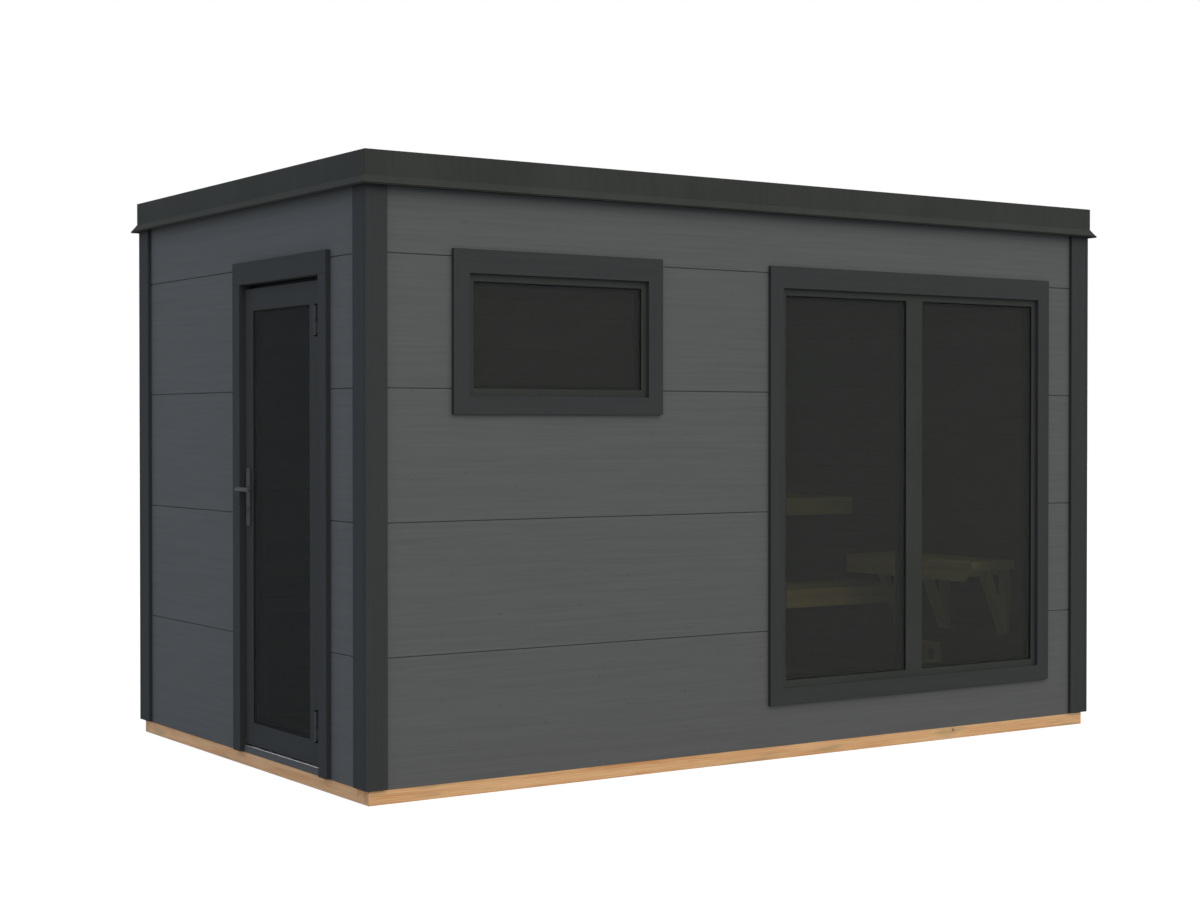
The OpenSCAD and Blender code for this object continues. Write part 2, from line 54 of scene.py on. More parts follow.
# Sizes, in metres
ARRIS = 0.0015             # rounding of a planed board's edges
POST_ARRIS = 0.0025        # rounding of a corner board's edges
BASE_ARRIS = 0.003         # rounding of the bearers' edges
BENCH_ARRIS = 0.002        # rounding of the bench timbers' edges
LEAF_ARRIS = 0.0008        # rounding of the door leaf's timbers
FOLD = 0.0012              # rounding of folded sheet and of drawn profiles
CLADDING_PITCH = 0.528     # height of a cladding board
CLADDING_JOINT = 0.571     # height of the lowest joint between cladding boards
CLADDING_BEVEL = 0.0030    # bevel of a cladding board's edges
CLADDING_GAP = 0.0014      # gap between two cladding boards
LINING_PITCH = 0.090       # width of a lining board
LINING_DEPTH = 0.014       # thickness of the lining boards
LINING_BEVEL = 0.003       # bevel of a lining board's edges
FLOOR_PITCH = 0.113        # width of a floor board
FLOOR_BEVEL = 0.0015       # bevel of a floor board's edges
BOARD_GAP = 0.0006         # gap between two lining or floor boards
CUT_MARGIN = 0.02          # how far boards run past a node before they are cut to it
SLAT_PITCH = 0.096         # distance between the slats of a bench seat
SLAT_GAP = 0.012           # gap between those slats
SLAT_BEVEL = 0.003         # bevel of a slat's edges
FELT_WIDTH = 1.0           # width of a roof felt sheet
FELT_LAP = 0.08            # how far one sheet laps over the next
FELT_THICK = 0.003         # thickness of a sheet
LOCK_DROP = 0.085          # distance of the lock cylinder under the lever
GASKET = 0.0012            # width of the rubber round a pane
GASKET_BED = 0.003         # thickness of the rubber between a pane and its bead
PANE_GRIP = 0.008          # how far a pane runs into its frame
SHEET_GLASS = 0.004        # thickness of one sheet in a double pane
SPACER = 0.009             # height of the bar between two sheets
BEAD = 0.014               # width of a glazing bead
CASING_WIDTH = 0.055       # width of the casings inside the room
CASING_DEPTH = 0.012       # thickness of those casings
CASING_ARRIS = 0.003       # rounding of their edges


# ---- node trees ----

class Wire:
    """An output of a node, with the arithmetic that finishes and shapes are written in."""

    def __init__(self, nodes, socket):
        self.nodes = nodes
        self.socket = socket

    def __add__(self, other):
        return self.nodes.math("ADD", self, other)

    def __radd__(self, other):
        return self.nodes.math("ADD", other, self)

    def __sub__(self, other):
        return self.nodes.math("SUBTRACT", self, other)

    def __rsub__(self, other):
        return self.nodes.math("SUBTRACT", other, self)

    def __mul__(self, other):
        return self.nodes.math("MULTIPLY", self, other)

    def __rmul__(self, other):
        return self.nodes.math("MULTIPLY", other, self)

    def __truediv__(self, other):
        return self.nodes.math("DIVIDE", self, other)

    def __pow__(self, power):
        return self.nodes.math("POWER", self, power)


class Nodes:
    """A node tree that is being built. Its node method adds any node."""

    def __init__(self, tree):
        self.tree = tree

    def node(self, kind, values=None, out=0, **settings):
        """Adds a node, sets it up, feeds values to its sockets and returns one of its outputs."""
        made = self.tree.nodes.new(kind)
        for name, value in settings.items():
            setattr(made, name, value)
        for name, value in (values or {}).items():
            self.feed(made.inputs[name], value)
        return Wire(self, made.outputs[out]) if made.outputs else None

    def feed(self, socket, value):
        if isinstance(value, Wire):
            self.tree.links.new(value.socket, socket)
        else:
            socket.default_value = value

    def math(self, operation, a, b=0.0):
        return self.node("ShaderNodeMath", {0: a, 1: b}, operation=operation)

    def combined(self, x, y, z):
        return self.node("ShaderNodeCombineXYZ", {"X": x, "Y": y, "Z": z})

    def split(self, vector):
        """The three parts of a vector."""
        return [self.node("ShaderNodeSeparateXYZ", {"Vector": vector}, out=i) for i in range(3)]

    def fade(self, value, low, high):
        """0 at low and under it, 1 at high and over it, and smooth between."""
        return self.node("ShaderNodeMapRange", {"Value": value, "From Min": low, "From Max": high},
                         interpolation_type="SMOOTHSTEP")


class ShapeNodes(Nodes):
    """A tree of geometry nodes."""

    def __init__(self, name):
        super().__init__(bpy.data.node_groups.new(name, "GeometryNodeTree"))

    def inputs(self, **kinds):
        """The tree's named inputs, in order."""
        for name, kind in kinds.items():
            self.tree.interface.new_socket(name=name, in_out="INPUT", socket_type="NodeSocket" + kind)
        source = self.tree.nodes.new("NodeGroupInput")
        return [Wire(self, source.outputs[name]) for name in kinds]

    def finished(self, instances, finish):
        """Ends the tree: the instances made real, in their finish."""
        real = self.node("GeometryNodeRealizeInstances", {"Geometry": instances})
        dressed = self.node("GeometryNodeSetMaterial", {"Geometry": real, "Material": finish})
        self.tree.interface.new_socket(name="Geometry", in_out="OUTPUT", socket_type="NodeSocketGeometry")
        self.tree.links.new(dressed.socket, self.tree.nodes.new("NodeGroupOutput").inputs[0])
        return self.tree


class Finish(Nodes):
    """A material that is being built."""

    def __init__(self, name):
        self.material = bpy.data.materials.new(name)
        self.material.use_nodes = True
        super().__init__(self.material.node_tree)
        self.tree.nodes.clear()

    def place(self, along=None):
        """Where a point lies: along the grain, across it and into the piece."""
        if along is None:
            return self.split(self.node("ShaderNodeAttribute", out="Vector", attribute_name="grain"))
        x, y, z = self.split(self.node("ShaderNodeTexCoord", out="Object"))
        return {"x": [x, y, z], "y": [y, x, z], "z": [z, x, y]}[along]

    def shade(self):
        """A number from 0 to 1 that each board draws for itself."""
        return self.node("ShaderNodeAttribute", out="Fac", attribute_name="shade")

    def noise(self, at, scale, detail=2.0, roughness=0.5, distortion=0.0):
        return self.node("ShaderNodeTexNoise",
                         {"Vector": at, "Scale": scale, "Detail": detail, "Roughness": roughness,
                          "Distortion": distortion})

    def drawn_noise(self, place, lengthwise, crosswise, detail=2.0, roughness=0.5, distortion=0.0):
        """Noise drawn out along the grain, with so many waves a metre lengthwise and crosswise."""
        length, across, deep = place
        at = self.combined(length * lengthwise, across * crosswise, deep * crosswise)
        return self.noise(at, 1.0, detail, roughness, distortion)

    def mix(self, share, a, b):
        return self.node("ShaderNodeMix", {0: share, 6: a, 7: b}, out=2, data_type="RGBA")

    def surface(self, relief, depth, **sockets):
        """Ends the material: a Principled surface with these sockets and this relief."""
        values = {name.replace("_", " "): value for name, value in sockets.items()}
        values["Normal"] = self.node("ShaderNodeBump",
                                     {"Strength": 1.0, "Distance": depth, "Height": relief})
        shader = self.node("ShaderNodeBsdfPrincipled", values)
        self.node("ShaderNodeOutputMaterial", {"Surface": shader})
        return self.material


def tint(red, green, blue):
    """A colour on the usual 0 to 255 scale, as the linear one that nodes take."""
    def linear(c):
        return c / 12.92 if c <= 0.04045 else ((c + 0.055) / 1.055) ** 2.4
    return (linear(red / 255), linear(green / 255), linear(blue / 255), 1.0)


def grey(level):
    """A grey from 0 to 1, on the linear scale."""
    return (level, level, level, 1.0)


# ---- finishes ----

def knots(finish, along, across, per_metre, radius, share):
    """Knots in a board, the rings round them, and the place across it that the grain has there.
    per_metre is how many could lie along a metre, and share is the part of them that do."""
    cell = {"Vector": finish.combined(along * per_metre, across * per_metre, 0.0), "Scale": 1.0}
    distance, colour, position = [
        finish.node("ShaderNodeTexVoronoi", cell, out=i, voronoi_dimensions="2D") for i in range(3)]
    chance = finish.split(colour)[0]
    centre = finish.split(position)[1]
    present = finish.fade(chance, 1 - share, 1 - share + 0.02)
    size = radius * per_metre
    knot = (1 - finish.fade(distance, size * 0.7, size * 1.2)) * present
    ring = (1 - finish.fade(distance, size, size * 1.9)) * present
    swell = (1 - finish.fade(distance, size, size * 7.0)) * present
    pull = 0.55
    bent = across - (across - centre / per_metre) * swell * pull
    return knot, ring, bent


def painted_timber(name, low, high, knot_share=0.6):
    """Opaque paint on planed timber: fibres and knots show as a faint relief and tone."""
    f = Finish(name)
    length, across, deep = f.place()
    knot, ring, bent = knots(f, length, across, per_metre=4.4, radius=0.0042, share=knot_share)
    place = (length, bent, deep)
    fibre = f.drawn_noise(place, lengthwise=3.0, crosswise=240.0, detail=3.0, roughness=0.6)
    vein = f.drawn_noise(place, lengthwise=1.4, crosswise=70.0, roughness=0.55, distortion=0.6)
    grain = f.fade(fibre * 0.55 + vein * 0.45, 0.3, 0.7)
    colour = f.mix(grain * 0.8 + 0.2 - ring * 0.35 - knot * 1.3, low, high)
    return f.surface(relief=fibre * 0.5 + vein * 0.5 - knot * 0.6, depth=0.0003, Base_Color=colour,
                     Roughness=0.64 + fibre * 0.12, Specular_IOR_Level=0.03)


def raw_timber(name, late, early, knot_tint, along=None, knot_share=0.55, uneven=0.3, stain=None):
    """Planed timber: growth rings cut lengthwise, fibres, uneven patches and reddish knots.
    late and early are the tints of its dark and pale growth, uneven is how much one board's shade
    differs from another's, and stain is the tint of grey sapwood."""
    f = Finish(name)
    length, across, deep = f.place(along)
    knot, ring, bent = knots(f, length, across, per_metre=3.4, radius=0.0055, share=knot_share)
    place = (length, bent, deep)
    sway = f.drawn_noise(place, lengthwise=0.8, crosswise=3.0)
    rings = f.math("SINE", (bent + deep * 0.7) * 700.0 + sway * 60.0) * 0.5 + 0.5
    band = f.drawn_noise(place, lengthwise=1.2, crosswise=36.0, detail=3.0, roughness=0.55)
    streak = f.drawn_noise(place, lengthwise=8.0, crosswise=130.0, detail=3.0, roughness=0.6)
    fibre = f.drawn_noise(place, lengthwise=9.0, crosswise=420.0, roughness=0.6)
    cloud = f.drawn_noise((length, across, deep), lengthwise=2.2, crosswise=9.0, detail=3.0)
    grain = rings ** 2.0 * 0.12 + band * 0.62 + streak * 0.34 + fibre * 0.2 + cloud * 0.4
    shaded = grain + (f.shade() - 0.5) * uneven
    clear = f.mix(f.fade(shaded, 0.56, 1.08), early, late)
    if stain:
        elsewhere = length * 3.0 + 7.0
        sap = f.noise(f.combined(elsewhere, bent * 22.0, deep * 22.0), 1.0)
        clear = f.mix(f.fade(sap, 0.56, 0.72) * 0.6, clear, stain)
    ringed = f.mix(ring * 0.4, clear, knot_tint)
    colour = f.mix(knot * 0.85, ringed, knot_tint)
    return f.surface(relief=fibre * 0.5 + rings * 0.3 - knot * 0.5, depth=0.0003, Base_Color=colour,
                     Roughness=0.54 + streak * 0.16, Specular_IOR_Level=0.25)


def coated_metal(name, low, high, roughness, specular):
    """Powder coat on metal: a fine orange peel, faint run marks and dust."""
    f = Finish(name)
    at = f.node("ShaderNodeTexCoord", out="Object")
    x, y, z = f.split(at)
    peel = f.noise(at, scale=900.0, detail=1.0)
    cloud = f.noise(at, scale=2.4, detail=3.0, roughness=0.6)
    runs = f.noise(f.combined(x * 60.0, y * 60.0, z * 3.0), scale=1.0, detail=3.0)
    colour = f.mix(f.fade(cloud * 0.7 + runs * 0.3, 0.3, 0.72), low, high)
    return f.surface(relief=peel, depth=0.00012, Base_Color=colour,
                     Roughness=roughness + cloud * 0.14, Specular_IOR_Level=specular)


def bare_metal(name, colour, roughness, along="y"):
    """Drawn metal with fine lines along it."""
    f = Finish(name)
    lines = f.drawn_noise(f.place(along), lengthwise=4.0, crosswise=900.0)
    wear = f.noise(f.node("ShaderNodeTexCoord", out="Object"), scale=30.0, detail=3.0)
    dull = tuple(part * 0.72 for part in colour[:3]) + (1.0,)
    return f.surface(relief=lines, depth=0.00005, Metallic=1.0, Roughness=roughness + lines * 0.12,
                     Base_Color=f.mix(f.fade(wear, 0.35, 0.7), dull, colour))


def pane_glass(name, passed, veil, grazing):
    """Clear glass in plain sheets. Each face passes a tint, carries a thin diffuse veil that is partly
    dust and partly a painted reflection of the bright surroundings, and mirrors a share of what is before
    it towards a grazing view."""
    f = Finish(name)
    facing = f.node("ShaderNodeLayerWeight", {"Blend": 0.5}, out="Facing")
    clear = f.node("ShaderNodeBsdfTransparent", {"Color": passed})
    # This dust shader is also painted reflection: its pale diffuse veil lifts the panes as a mirror image
    # of the white surroundings would.
    dust = f.node("ShaderNodeBsdfDiffuse", {"Color": tint(226, 230, 232)})
    dust_and_painted_reflection = f.node("ShaderNodeMixShader", {0: veil, 1: clear, 2: dust})
    gloss = f.node("ShaderNodeBsdfGlossy", {"Color": grey(1.0), "Roughness": 0.0})
    mixed = f.node("ShaderNodeMixShader", {0: facing ** 5.0 * grazing, 1: dust_and_painted_reflection, 2: gloss})
    f.node("ShaderNodeOutputMaterial", {"Surface": mixed})
    return f.material


def roof_felt(name):
    """Mineral felt: dark bitumen under fine slate grains."""
    f = Finish(name)
    at = f.node("ShaderNodeTexCoord", out="Object")
    grains = f.node("ShaderNodeTexVoronoi", {"Vector": at, "Scale": 420.0}, out=1)
    speck = f.split(grains)[0]
    cloud = f.noise(at, scale=1.6, detail=4.0, roughness=0.6)
    colour = f.mix(f.fade(speck * 0.7 + cloud * 0.5, 0.15, 1.0), tint(26, 27, 28), tint(72, 73, 74))
    return f.surface(relief=speck, depth=0.0008, Base_Color=colour, Roughness=0.85 + cloud * 0.1,
                     Specular_IOR_Level=0.2)


def rubber(name):
    """Black rubber under a little dust."""
    f = Finish(name)
    dust = f.noise(f.node("ShaderNodeTexCoord", out="Object"), scale=24.0, detail=3.0)
    colour = f.mix(f.fade(dust, 0.4, 0.8), tint(9, 9, 9), tint(17, 17, 16))
    return f.surface(relief=dust, depth=0.0001, Base_Color=colour, Roughness=0.7 + dust * 0.15,
                     Specular_IOR_Level=0.08)


DARK_PAINT = (tint(50, 52, 52), tint(55, 57, 57))
PASSED_LIGHT = tint(225, 227, 221)
PINE_LATE = tint(179, 124, 74)
PINE_EARLY = tint(206, 167, 122)
PINE_KNOT = tint(112, 60, 34)
SAP_STAIN = tint(152, 134, 98)
ASPEN_LATE = tint(196, 158, 112)
ASPEN_EARLY = tint(226, 196, 154)
HEATED_LATE = tint(60, 45, 34)
HEATED_EARLY = tint(88, 68, 52)
HEATED_KNOT = tint(34, 24, 18)

finishes = {
    "cladding": painted_timber("cladding_paint", tint(79, 81, 80), tint(87, 89, 88)),
    "trim": painted_timber("trim_paint", *DARK_PAINT, knot_share=0.2),
    "door": painted_timber("door_paint", *DARK_PAINT, knot_share=0.2),
    "frame": coated_metal("frame_paint", tint(49, 52, 49), tint(54, 57, 54), 0.6, 0.03),
    "edge": coated_metal("edge_metal", tint(50, 52, 49), tint(56, 58, 55), 0.6, 0.03),
    "base": raw_timber("base_pine", PINE_LATE, PINE_EARLY, PINE_KNOT, stain=SAP_STAIN),
    "timber": raw_timber("hidden_timber", PINE_LATE, PINE_EARLY, PINE_KNOT, "y"),
    "deck": raw_timber("roof_boards", PINE_LATE, PINE_EARLY, PINE_KNOT, "x"),
    "lining": raw_timber("inner_lining", HEATED_LATE, HEATED_EARLY, HEATED_KNOT),
    "floor": raw_timber("floor_boards", tint(84, 68, 54), tint(112, 94, 76), HEATED_KNOT),
    "bench": raw_timber("bench_timber", ASPEN_LATE, ASPEN_EARLY, PINE_KNOT, knot_share=0.15),
    "felt": roof_felt("roof_felt"),
    "glass": pane_glass("window_glass", PASSED_LIGHT, veil=0.016, grazing=0.008),
    # Painted shade: the door's copy of the glass mirrors less and carries a thinner veil than the
    # windows' glass, so its panes look darker.
    "door_glass": pane_glass("door_glass", PASSED_LIGHT, veil=0.014, grazing=0.003),
    "threshold": bare_metal("threshold_metal", tint(214, 217, 219), 0.26),
    "hinge": coated_metal("hinge_steel", tint(58, 60, 61), tint(64, 66, 67), 0.5, 0.08),
    "screw": bare_metal("screw_steel", tint(150, 151, 152), 0.35, "z"),
    "dark_screw": coated_metal("dark_screw", tint(34, 35, 36), tint(42, 43, 44), 0.45, 0.2),
    "handle": coated_metal("handle_metal", tint(58, 59, 61), tint(64, 65, 67), 0.45, 0.12),
    "rubber": rubber("rubber"),
    "spacer": coated_metal("spacer_bar", tint(16, 16, 16), tint(22, 22, 22), 0.6, 0.1),
}

# The record's material slot for each finish that has one
slots = {
    "cladding": "cladding_paint", "trim": "trim_paint", "door": "door_paint", "frame": "frame_paint",
    "edge": "edge_metal", "base": "base_pine", "lining": "inner_lining", "floor": "floor_boards",
    "bench": "bench_timber", "felt": "roof_felt", "glass": "window_glass", "door_glass": "window_glass",
    "threshold": "threshold_metal", "hinge": "hinge_steel", "handle": "handle_metal",
}


# ---- meshes ----

MERGE = 1e-5                     # corners nearer than this are one
LEVEL = 1e-4                     # places along an axis nearer than this are one
FLAT = math.radians(0.5)         # faces that meet at less than this are one
SHARP = math.radians(25)         # an edge that turns by more than this is rounded


def coordinate(axis):
    return "xyz".index(axis)


def copied(node):
    """A CAD node's shape with its loose triangles joined and its flat faces whole."""
    shape = bmesh.new()
    shape.from_mesh(frame["nodes"][node].data)
    bmesh.ops.remove_doubles(shape, verts=shape.verts, dist=MERGE)
    bmesh.ops.dissolve_limit(shape, angle_limit=FLAT, verts=shape.verts, edges=shape.edges)
    return shape


def islands(shape):
    """The vertices of each separate solid of a shape."""
    left = set(shape.verts)
    found = []
    for start in shape.verts:
        if start not in left:
            continue
        left.discard(start)
        group, unvisited = [start], [start]
        while unvisited:
            for edge in unvisited.pop().link_edges:
                for corner in edge.verts:
                    if corner in left:
                        left.discard(corner)
                        group.append(corner)
                        unvisited.append(corner)
        found.append(group)
    return found


def corners_of(points):
    """The lowest and highest corner of the box round some points."""
    places = [point.co for point in points]
    return (Vector([min(p[i] for p in places) for i in range(3)]),
            Vector([max(p[i] for p in places) for i in range(3)]))


def solids(node):
    """The box of each separate solid of a CAD node, in order of place."""
    shape = copied(node)
    found = [corners_of(group) for group in islands(shape)]
    shape.free()
    return sorted(found, key=lambda corners: tuple(round(c, 4) for c in corners[0]))


def planes(node, axis):
    """The places along an axis at which a CAD node has corners, from low to high."""
    found = []
    for place in sorted(v.co[coordinate(axis)] for v in frame["nodes"][node].data.vertices):
        if not found or place - found[-1] > LEVEL:
            found.append(place)
    return found


def eased(shape, arris=ARRIS, segments=2):
    """The shape with its sharp edges rounded."""
    sharp = [e for e in shape.edges if len(e.link_faces) == 2 and e.calc_face_angle() > SHARP]
    bmesh.ops.bevel(shape, geom=sharp, offset=arris, segments=segments, profile=0.5,
                    affect="EDGES", clamp_overlap=True)
    return shape


def add_box(shape, low, high):
    """Adds a box from its low corner to its high corner."""
    size = Vector(high) - Vector(low)
    middle = (Vector(high) + Vector(low)) / 2
    bmesh.ops.create_cube(shape, size=1.0,
                          matrix=Matrix.Translation(middle) @ Matrix.Diagonal((*size, 1.0)))
    return shape


def boxes(*corners):
    """A shape of boxes, each given by its low and its high corner."""
    shape = bmesh.new()
    for low, high in corners:
        add_box(shape, low, high)
    return shape


def add_ring(shape, axis, outer, inner, near, far):
    """Adds four mitred bars round an opening in the plane across the axis.
    outer and inner are (low u, low v, high u, high v), near and far places on the axis."""
    def corner(u, v, depth):
        place = [u, v]
        place.insert(coordinate(axis), depth)
        return shape.verts.new(place)
    loops = []
    for edge, depth in ((outer, near), (inner, near), (inner, far), (outer, far)):
        u0, v0, u1, v1 = edge
        loops.append([corner(u, v, depth) for u, v in ((u0, v0), (u1, v0), (u1, v1), (u0, v1))])
    for first, second in zip(loops, loops[1:] + loops[:1]):
        for i in range(4):
            j = (i + 1) % 4
            shape.faces.new((first[i], first[j], second[j], second[i]))
    return shape


def shrunk(opening, by):
    """A rectangle (low u, low v, high u, high v) made smaller all round."""
    return (opening[0] + by, opening[1] + by, opening[2] - by, opening[3] - by)


def add_rod(shape, axis, centre, radius, near, far, sides=32):
    """Adds a round bar along X or Z, from near to far on it. centre is a point on its middle line."""
    turn = {"x": Matrix.Rotation(math.pi / 2, 4, "Y"), "z": Matrix.Identity(4)}[axis]
    middle = Vector(centre)
    middle[coordinate(axis)] = (near + far) / 2
    bmesh.ops.create_cone(shape, cap_ends=True, segments=sides, radius1=radius, radius2=radius,
                          depth=far - near, matrix=Matrix.Translation(middle) @ turn)
    return shape


def temporary(mesh):
    host = bpy.data.objects.new("temporary", mesh)
    bpy.context.scene.collection.objects.link(host)
    return host


def evaluated_mesh(host):
    """The plain mesh that an object's modifiers make; the object and its modifiers go."""
    bpy.context.view_layer.update()
    graph = bpy.context.evaluated_depsgraph_get()
    mesh = bpy.data.meshes.new_from_object(host.evaluated_get(graph))
    host.modifiers.clear()
    bpy.data.objects.remove(host)
    return mesh


def combined_with(shape, tool, operation):
    """The shape cut by the tool, or what of it lies inside the tool."""
    hosts = []
    for part in (shape, tool):
        bmesh.ops.recalc_face_normals(part, faces=part.faces)
        mesh = bpy.data.meshes.new("part")
        part.to_mesh(mesh)
        part.free()
        hosts.append(temporary(mesh))
    modifier = hosts[0].modifiers.new("cut", "BOOLEAN")
    modifier.operation = operation
    modifier.solver = "EXACT"
    modifier.object = hosts[1]
    result = bmesh.new()
    result.from_mesh(evaluated_mesh(hosts[0]))
    bpy.data.objects.remove(hosts[1])
    return result


def grown(tree, mesh=None, **values):
    """The shape that a geometry tree makes from these inputs."""
    host = temporary(mesh or bpy.data.meshes.new("seed"))
    modifier = host.modifiers.new("shape", "NODES")
    modifier.node_group = tree
    for socket in tree.interface.items_tree:
        if socket.in_out == "INPUT" and socket.name in values:
            modifier[socket.identifier] = values[socket.name]
    shape = bmesh.new()
    shape.from_mesh(evaluated_mesh(host))
    return shape


def grain_axes(size, normal, place, along):
    """The axes along the grain, across it and into the piece, on one face of a solid."""
    longest, middling = sorted(range(3), key=lambda i: -size[i])[:2]
    if along == "ring":
        beside = abs(place[longest]) * size[middling] > abs(place[middling]) * size[longest]
        first = middling if beside else longest
    else:
        first = longest if along is None else coordinate(along)
    others = [i for i in range(3) if i != first]
    deep = max(others, key=lambda i: (round(abs(normal[i]), 1), -size[i]))
    return first, 3 - first - deep, deep


def lay_grain(mesh, shape, along):
    """Gives each face a grain and each solid a shade of its own. The grain follows a solid's longest
    side, a given axis, or the four bars of a ring."""
    seed, spread = 17, 40.0
    solid_of, facts = {}, []
    for number, group in enumerate(islands(shape)):
        low, high = corners_of(group)
        draw = random.Random(number + seed)
        shift = [draw.uniform(0.0, spread) for _ in range(3)]
        facts.append((high - low, (low + high) / 2, shift, draw.random()))
        solid_of.update((corner, number) for corner in group)
    grain, shade = [], []
    for face in shape.faces:
        size, middle, shift, own_shade = facts[solid_of[face.verts[0]]]
        axes = grain_axes(size, face.normal, face.calc_center_median() - middle, along)
        for corner in face.verts:
            grain.extend(corner.co[i] + s for i, s in zip(axes, shift))
            shade.append(own_shade)
    mesh.attributes.new("grain", "FLOAT_VECTOR", "CORNER").data.foreach_set("vector", grain)
    mesh.attributes.new("shade", "FLOAT", "CORNER").data.foreach_set("value", shade)


def piece(name, shape, finish, body="house", stands_for=(), slot=None, along=None, round_form=False):
    """Makes a finished piece of a shape and lets it ride on its body.
    slot, meant for a piece whose material slot isn't its finish's own, is looked up but not used."""
    bmesh.ops.recalc_face_normals(shape, faces=shape.faces)
    shape.verts.index_update()
    mesh = bpy.data.meshes.new(name)
    shape.to_mesh(mesh)
    lay_grain(mesh, shape, along)
    shape.free()
    mesh.materials.append(finishes[finish])
    if round_form:
        mesh.shade_smooth()
        mesh.set_sharp_from_angle(angle=SHARP)
    else:
        mesh.shade_flat()
    made = bpy.data.objects.new(name, mesh)
    bpy.context.scene.collection.objects.link(made)
    if stands_for:
        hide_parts(*stands_for)
    slot = slot or slots.get(finish)
    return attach(made, body)


def eased_node(node, name, finish, arris=ARRIS, **more):
    """A CAD node's shape with rounded edges, as a piece that stands for the node."""
    return piece(name, eased(copied(node), arris), finish, stands_for=[node], **more)


# ---- geometry trees ----

def board_tree():
    """Boards along X, one above the other, their four long edges bevelled."""
    g = ShapeNodes("laid_boards")
    length, height, depth, pitch, bevel, count, finish = g.inputs(
        Length="Float", Height="Float", Depth="Float", Pitch="Float", Bevel="Float",
        Count="Int", Finish="Material")
    line = g.node("GeometryNodeCurvePrimitiveLine",
                  {"Start": (0.0, 0.0, 0.0), "End": g.combined(length, 0.0, 0.0)})
    outline = g.node("GeometryNodeCurvePrimitiveQuadrilateral", {"Width": depth, "Height": height})
    bevelled = g.node("GeometryNodeFilletCurve", {"Curve": outline, "Count": 1, "Radius": bevel},
                      mode="POLY")
    board = g.node("GeometryNodeCurveToMesh",
                   {"Curve": line, "Profile Curve": bevelled, "Fill Caps": True})
    places = g.node("GeometryNodeMeshLine", {"Count": count, "Offset": g.combined(0.0, 0.0, pitch)})
    return g.finished(g.node("GeometryNodeInstanceOnPoints", {"Points": places, "Instance": board}),
                      finish)


def screw_tree():
    """Screw heads with a socket, one on each point of the seed mesh, facing one way."""
    g = ShapeNodes("screw_heads")
    seed, radius, height, facing, finish = g.inputs(
        Seed="Geometry", Radius="Float", Height="Float", Facing="Vector", Finish="Material")
    taper, bore, sink, lift = 0.72, 0.4, -0.55, 1.02    # shares of the head's radius and height
    head = g.node("GeometryNodeMeshCone",
                  {"Vertices": 14, "Radius Top": radius * taper, "Radius Bottom": radius,
                   "Depth": height})
    top = g.node("GeometryNodeMeshCircle", {"Vertices": 6, "Radius": radius * bore}, fill_type="NGON")
    pressed = g.node("GeometryNodeExtrudeMesh",
                     {"Mesh": top, "Offset": g.combined(0.0, 0.0, height * sink)})
    socket = g.node("GeometryNodeTransform",
                    {"Geometry": pressed, "Translation": g.combined(0.0, 0.0, height * lift)})
    both = g.tree.nodes.new("GeometryNodeJoinGeometry")
    g.tree.links.new(head.socket, both.inputs[0])
    g.tree.links.new(socket.socket, both.inputs[0])
    turn = g.node("FunctionNodeAlignRotationToVector", {"Vector": facing}, axis="Z")
    return g.finished(g.node("GeometryNodeInstanceOnPoints",
                             {"Points": seed, "Instance": Wire(g, both.outputs[0]), "Rotation": turn}),
                      finish)


boards = board_tree()
screws = screw_tree()


def board_row(finish, along, stack, start, **sizes):
    """Boards that run along one axis from start and are stacked along another.
    sizes are the tree's inputs: Length, Height, Depth, Pitch, Bevel and Count."""
    shape = grown(boards, Finish=finishes[finish], **sizes)
    a, s = coordinate(along), coordinate(stack)
    turn = Matrix([[0.0] * 4 for _ in range(4)])
    turn[a][0] = turn[3 - a - s][1] = turn[s][2] = turn[3][3] = 1.0
    turn.translation = start
    shape.transform(turn)
    return shape


def laid(node, along, stack, pitch, joint, bevel, depth=None, face="high", gap=BOARD_GAP,
         finish="lining"):
    """Boards that fill a CAD node, or the skin of it on one face to a depth.
    joint is the place of one joint along the stack."""
    low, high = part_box(node)
    a, s = coordinate(along), coordinate(stack)
    t = 3 - a - s
    thick = depth or high[t] - low[t]
    first = joint - math.ceil((joint - low[s]) / pitch) * pitch
    count = math.ceil((high[s] - first) / pitch)
    start = [0.0, 0.0, 0.0]
    start[a] = low[a] - CUT_MARGIN
    start[s] = first + pitch / 2
    start[t] = high[t] - thick / 2 if face == "high" else low[t] + thick / 2
    row = board_row(finish, along, stack, start, Length=high[a] - low[a] + 2 * CUT_MARGIN,
                    Height=pitch - gap, Depth=thick, Pitch=pitch, Bevel=bevel, Count=count)
    hull = copied(node)
    for corner in hull.verts:
        corner.co[t] += CUT_MARGIN if corner.co[t] > (low[t] + high[t]) / 2 else -CUT_MARGIN
    return combined_with(row, hull, "INTERSECT")


def behind(node, axis, face, depth):
    """The CAD node's shape without the skin of a depth on one face."""
    low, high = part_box(node)
    i = coordinate(axis)
    plane, step = (high[i], -depth) if face == "high" else (low[i], depth)
    shape = copied(node)
    for corner in shape.verts:
        if abs(corner.co[i] - plane) < LEVEL:
            corner.co[i] += step
    return shape


def screwed(name, points, facing, radius=0.004, height=0.0012, body="house", finish="screw"):
    """Screw heads at some points, as one piece."""
    seed = bpy.data.meshes.new("places")
    seed.from_pydata([tuple(p) for p in points], [], [])
    shape = grown(screws, seed, Radius=radius, Height=height, Facing=facing, Finish=finishes[finish])
    return piece(name, shape, finish, body, round_form=True)


# ---- base and floor ----

def build_base():
    eased_node("long_bearers", "long_pine_bearers", "base", BASE_ARRIS)
    eased_node("end_bearers", "end_pine_bearers", "base", BASE_ARRIS)
    planks = laid("floor", "x", "y", FLOOR_PITCH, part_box("floor")[0].y, FLOOR_BEVEL, finish="floor")
    piece("floor_planks", planks, "floor", stands_for=["floor"], along="x")


# ---- walls ----

